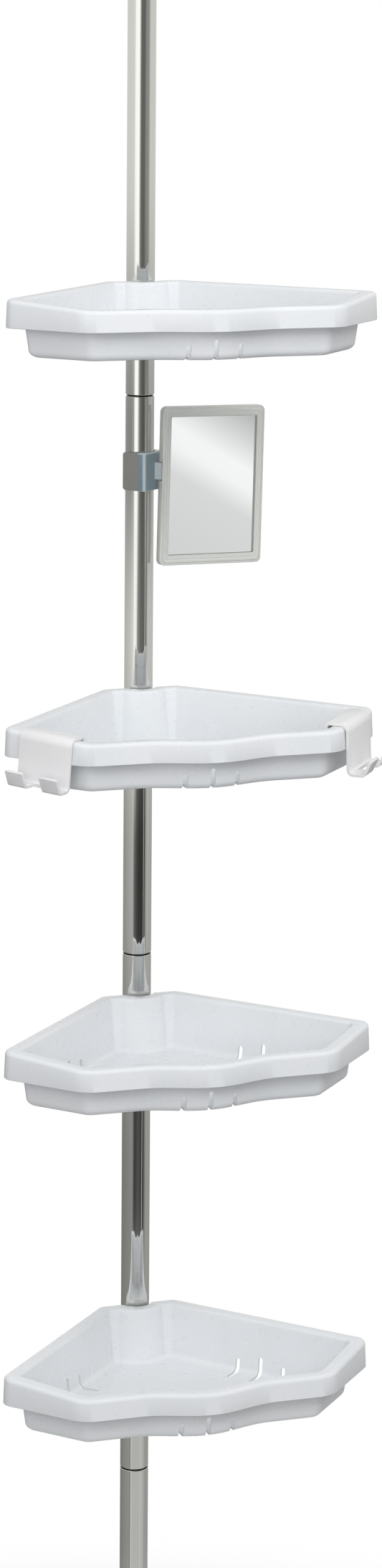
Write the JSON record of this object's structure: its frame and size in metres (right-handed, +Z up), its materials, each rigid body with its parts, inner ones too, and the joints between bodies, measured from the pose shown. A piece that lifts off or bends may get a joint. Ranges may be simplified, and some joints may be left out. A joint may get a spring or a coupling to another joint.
{
  "type": "tension pole shelf unit",
  "caption": "Floor-to-ceiling spring tension pole with moulded corner trays that slide and turn, a clip-on swinging mirror and hang-on double hooks.",
  "frame": {"origin": "on the floor, under the pole's axis", "axes": "+Z up along the pole, -Y the open front that the trays face, +X the side on which the mirror hangs"},
  "size_m": [0.3462, 0.2644, 2.134],
  "materials": {
    "chrome": "polished chrome on steel tube",
    "tray_plastic": "moulded, softly glossy",
    "hook_plastic": "moulded, satin",
    "sleeve_plastic": "moulded, matt",
    "foot_plastic": "moulded, satin",
    "foot_rubber": "matt rubber",
    "plug_plastic": "moulded, matt",
    "liner_rubber": "matt strip",
    "steel_wire": "drawn wire",
    "frame_plastic": "clear, polished",
    "clip_plastic": "clear, polished",
    "mirror": "silvered",
    "cover_plastic": "moulded, matt"
  },
  "bodies": {
    "pole": {"floor_foot": "foot_plastic", "floor_foot_grip": "foot_rubber", "pole_section_1": "chrome", "pole_section_2": "chrome", "pole_section_3": "chrome", "pole_section_4": "chrome", "guide_collar": "foot_plastic", "spring_seat": "plug_plastic", "tension_spring": "steel_wire"},
    "plunger": {"plunger_tube": "chrome", "plunger_plug": "plug_plastic", "ceiling_foot": "foot_plastic", "ceiling_foot_grip": "foot_rubber"},
    "bottom_tray_sleeve": {"bottom_tray_sleeve_left": "sleeve_plastic", "bottom_tray_sleeve_right": "sleeve_plastic"},
    "bottom_tray": {"bottom_tray": "tray_plastic"},
    "lower_tray_sleeve": {"lower_tray_sleeve_left": "sleeve_plastic", "lower_tray_sleeve_right": "sleeve_plastic"},
    "lower_tray": {"lower_tray": "tray_plastic"},
    "upper_tray_sleeve": {"upper_tray_sleeve_left": "sleeve_plastic", "upper_tray_sleeve_right": "sleeve_plastic"},
    "upper_tray": {"upper_tray": "tray_plastic"},
    "top_tray_sleeve": {"top_tray_sleeve_left": "sleeve_plastic", "top_tray_sleeve_right": "sleeve_plastic"},
    "top_tray": {"top_tray": "tray_plastic"},
    "mirror_clip_liner": {"mirror_clip_liner": "liner_rubber"},
    "mirror_clip": {"mirror_clip": "clip_plastic"},
    "mirror": {"mirror_frame": "frame_plastic", "mirror_glass": "mirror", "mirror_back": "cover_plastic", "mirror_pivot_pin": "steel_wire"},
    "left_hook": {"left_hook": "hook_plastic"},
    "right_hook": {"right_hook": "hook_plastic"}
  },
  "joints": [
    {"name": "plunger_slide", "type": "slide", "parent": "pole", "child": "plunger", "axis": [0, 0, 1], "range_m": [-0.03, 0], "stiffness_N_per_m": 2000, "springref_m": 0.02, "deforming": ["tension_spring"]},
    {"name": "bottom_tray_height", "type": "slide", "parent": "pole", "child": "bottom_tray_sleeve", "axis": [0, 0, 1], "range_m": [-0.2, 0.09]},
    {"name": "bottom_tray_turn", "type": "hinge", "parent": "bottom_tray_sleeve", "child": "bottom_tray", "pos_m": [0, 0, 0.535], "axis": [0, 0, 1], "range_deg": [-90, 90]},
    {"name": "lower_tray_height", "type": "slide", "parent": "pole", "child": "lower_tray_sleeve", "axis": [0, 0, 1], "range_m": [-0.09, 0.09]},
    {"name": "lower_tray_turn", "type": "hinge", "parent": "lower_tray_sleeve", "child": "lower_tray", "pos_m": [0, 0, 0.82], "axis": [0, 0, 1], "range_deg": [-90, 90]},
    {"name": "upper_tray_height", "type": "slide", "parent": "pole", "child": "upper_tray_sleeve", "axis": [0, 0, 1], "range_m": [-0.09, 0.035]},
    {"name": "upper_tray_turn", "type": "hinge", "parent": "upper_tray_sleeve", "child": "upper_tray", "pos_m": [0, 0, 1.0981], "axis": [0, 0, 1], "range_deg": [-90, 90]},
    {"name": "top_tray_height", "type": "slide", "parent": "pole", "child": "top_tray_sleeve", "axis": [0, 0, 1], "range_m": [-0.025, 0.2]},
    {"name": "top_tray_turn", "type": "hinge", "parent": "top_tray_sleeve", "child": "top_tray", "pos_m": [0, 0, 1.4611], "axis": [0, 0, 1], "range_deg": [-90, 90]},
    {"name": "mirror_height", "type": "slide", "parent": "pole", "child": "mirror_clip_liner", "axis": [0, 0, 1], "range_m": [-0.03, 0.027]},
    {"name": "mirror_clip_turn", "type": "hinge", "parent": "mirror_clip_liner", "child": "mirror_clip", "pos_m": [0, 0, 1.3272], "axis": [0, 0, 1], "range_deg": [-90, 90]},
    {"name": "mirror_swing", "type": "hinge", "parent": "mirror_clip", "child": "mirror", "pos_m": [0.0176, -0.0165, 1.3272], "axis": [0.0227, 0, 0.9997], "range_deg": [-49.5, 34.5]},
    {"name": "left_hook_lift", "type": "slide", "parent": "upper_tray", "child": "left_hook", "axis": [0, 0, 1], "range_m": [0, 0.03]},
    {"name": "right_hook_lift", "type": "slide", "parent": "upper_tray", "child": "right_hook", "axis": [0, 0, 1], "range_m": [0, 0.03]}
  ]
}
